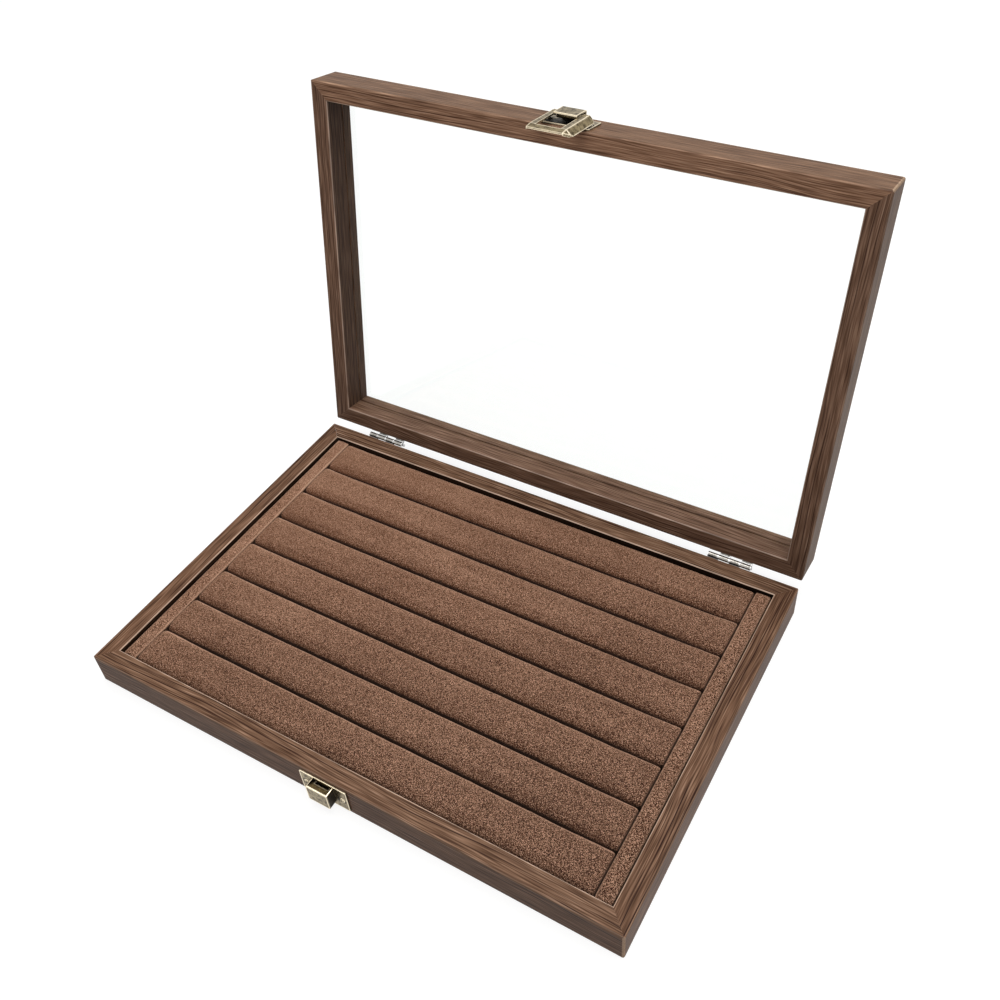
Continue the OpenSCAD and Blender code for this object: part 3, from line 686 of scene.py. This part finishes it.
def swellCloth(pads):
    rest = {}
    for piece, node, sizes in pads:
        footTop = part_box(node)[0].z + padding["foot"]
        foot = piece.vertex_groups.new(name="foot")
        foot.add([v.index for v in piece.data.vertices if v.co.z < footTop], 1.0, "REPLACE")
        rest[piece.name] = meshPoints(piece.data)
        cloth = piece.modifiers.new("swell", "CLOTH")
        for key, value in clothSettings.items():
            setattr(cloth.settings, key, value)
        cloth.settings.uniform_pressure_force = sizes["pressure"]
        cloth.settings.effector_weights.gravity = 0
        cloth.collision_settings.use_collision = False
        cloth.point_cache.frame_start = 1
        cloth.point_cache.frame_end = padding["steps"]
    for step in range(1, padding["steps"] + 1):
        scene.frame_set(step)
    graph = bpy.context.evaluated_depsgraph_get()
    for piece, node, sizes in pads:
        swollen = meshPoints(piece.evaluated_get(graph).data)
        start = rest[piece.name]
        move = swollen - start
        reach = np.linalg.norm(move, axis=1)
        print(f"  {piece.name}: swells {reach.mean() / mm:.2f} mm, at most {reach.max() / mm:.2f} mm")
        move *= np.minimum(1, sizes["swell"] / np.maximum(reach, 1e-9))[:, None]
        piece.modifiers.clear()
        piece.vertex_groups.clear()
        movePoints(piece.data, start + move)
    scene.frame_set(1)


def markCreases(piece, points, low, high, sizes):  # painted shade where two pads meet, painted highlight along the ridge beside it
    along = sizes["along"]
    half = np.array(high - low) / 2
    inside = half - np.abs(points - np.array(high + low) / 2)
    end, side = inside[:, along], inside[:, 1 - along]
    off = 1 - side / half[1 - along]
    deep = high.z - sizes["arch"] * off * off - points[:, 2]
    near, far = sizes["crease"]
    gap = np.where(points[:, along] < (high[along] + low[along]) / 2, *sizes["gaps"])
    # painted shade in the creases between rolls and at their ends against the bars
    creviceShade = np.maximum(np.clip((deep - near) / (far - near), 0, 1), np.clip((gap - end) / padding["gapFade"], 0, 1))
    # painted highlight along the ridge, stored as rim; the bars are paler all over
    first, last = sizes["ridgeHighlight"]
    ridgeHighlight = np.clip(1 - np.abs(side - (first + last) / 2) / ((last - first) / 2), 0, 1) * (deep < near)
    if along == 0:  # the rolls only at their backs
        ridgeHighlight *= points[:, 1] > (high.y + low.y) / 2
    ridgeHighlight = np.maximum(ridgeHighlight, sizes["paler"])
    keep(piece.data.attributes, {"creviceShade": creviceShade, "rim": ridgeHighlight})


def finishPad(piece, node, sizes):
    low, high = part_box(node)
    dice = np.random.default_rng(len(node) + ord(node[-1]))
    points = meshPoints(piece.data)
    normals = np.empty(len(points) * 3, np.float32)
    piece.data.vertex_normals.foreach_get("vector", normals)
    markCreases(piece, points, low, high, sizes)
    lift = np.zeros(len(points))
    for wave in range(padding["waves"]):  # shallow uneven puckers
        run = dice.normal(size=3) * (padding["slowWave"] + padding["waveStep"] * wave)
        lift += np.sin(points @ run + dice.random() * padding["waveStart"]) / padding["waves"]
    points += normals.reshape(-1, 3) * lift[:, None] * sizes["pucker"]
    points = np.clip(points, np.array(low) + padding["clear"], np.array(high) - padding["clear"])
    movePoints(piece.data, points)
    smoother = piece.modifiers.new("smooth", "SUBSURF")
    smoother.levels = smoother.render_levels = 1


pads = [padBlock(f"velvet_roll_{n}", f"ring_roll_{n}", rollSizes) for n in range(1, 9)]
pads += [padBlock("velvet_bar_" + side, "side_bar_" + side, barSizes) for side in ("left", "right")]
print("padding blocked out")
swellCloth(pads)
for row in pads:
    finishPad(*row)
print("padding finished")


def seenRays(tree):
    path = addNode(tree, "LightPath")
    seen = calc(tree, "ADD", path.outputs["Is Camera Ray"], path.outputs["Is Glossy Ray"])
    return calc(tree, "ADD", seen, path.outputs["Is Transmission Ray"], clamp=True)


# floor, surroundings and soft lamps: name, place, what it aims at, size and power
studio = {
    "floorSize": 8.0, "floorDrop": 0.05 * mm, "floorShade": 0.25, "floorSeen": 0.25, "floorGlow": 0.86,
    "ambient": 0.40, "lampColour": (1.0, 0.98, 0.95),
    "lamps": [
        ("overhead", (0.1, 0.25, 1.6), (0.0, 0.0, 0.0), 1.3, 17.0),
        ("rightSide", (1.6, 0.2, 0.9), (0.0, 0.0, 0.1), 0.9, 4.0),
        ("frontFill", (-0.9, -1.3, 1.5), (0.0, 0.0, 0.1), 1.2, 1.0),
    ],
}

floorBm = bmesh.new()
bmesh.ops.create_grid(floorBm, x_segments=1, y_segments=1, size=studio["floorSize"] / 2)
bmesh.ops.translate(floorBm, vec=(0, 0, -studio["floorDrop"]), verts=floorBm.verts)
floorMesh = bpy.data.meshes.new("floor")
floorBm.to_mesh(floorMesh)
floorBm.free()
floor = bpy.data.objects.new("floor", floorMesh)
scene.collection.objects.link(floor)
floorMaterial = bpy.data.materials.new("pale_floor")
floorMaterial.use_nodes = True
tree = floorMaterial.node_tree
tree.nodes.clear()
plain = addNode(tree, "BsdfDiffuse", {"Color": (studio["floorShade"],) * 3 + (1,)})
faint = addNode(tree, "BsdfDiffuse", {"Color": (studio["floorSeen"],) * 3 + (1,)})
glow = addNode(tree, "Emission", {"Color": (1, 1, 1, 1), "Strength": studio["floorGlow"]})
shown = addNode(tree, "AddShader", {0: faint.outputs[0], 1: glow.outputs[0]})
either = addNode(tree, "MixShader", {0: seenRays(tree), 1: plain.outputs[0], 2: shown.outputs[0]})
addNode(tree, "OutputMaterial", {"Surface": either.outputs[0]})
floorMesh.materials.append(floorMaterial)

world = bpy.data.worlds.new("surroundings")
world.use_nodes = True
scene.world = world
tree = world.node_tree
tree.nodes.clear()
strength = spread(tree, seenRays(tree), 0.0, 1.0, studio["ambient"], 1.0)
sky = addNode(tree, "Background", {"Color": (1, 1, 1, 1), "Strength": strength})
addNode(tree, "OutputWorld", {"Surface": sky.outputs[0]})

for name, place, target, size, power in studio["lamps"]:
    lampData = bpy.data.lights.new(name, "AREA")
    lampData.shape = "SQUARE"
    lampData.size = size
    lampData.energy = power
    lampData.color = studio["lampColour"]
    lamp = bpy.data.objects.new(name, lampData)
    lamp.location = place
    lamp.rotation_euler = (Vector(target) - Vector(place)).to_track_quat("-Z", "Y").to_euler()
    scene.collection.objects.link(lamp)
print("studio lit")
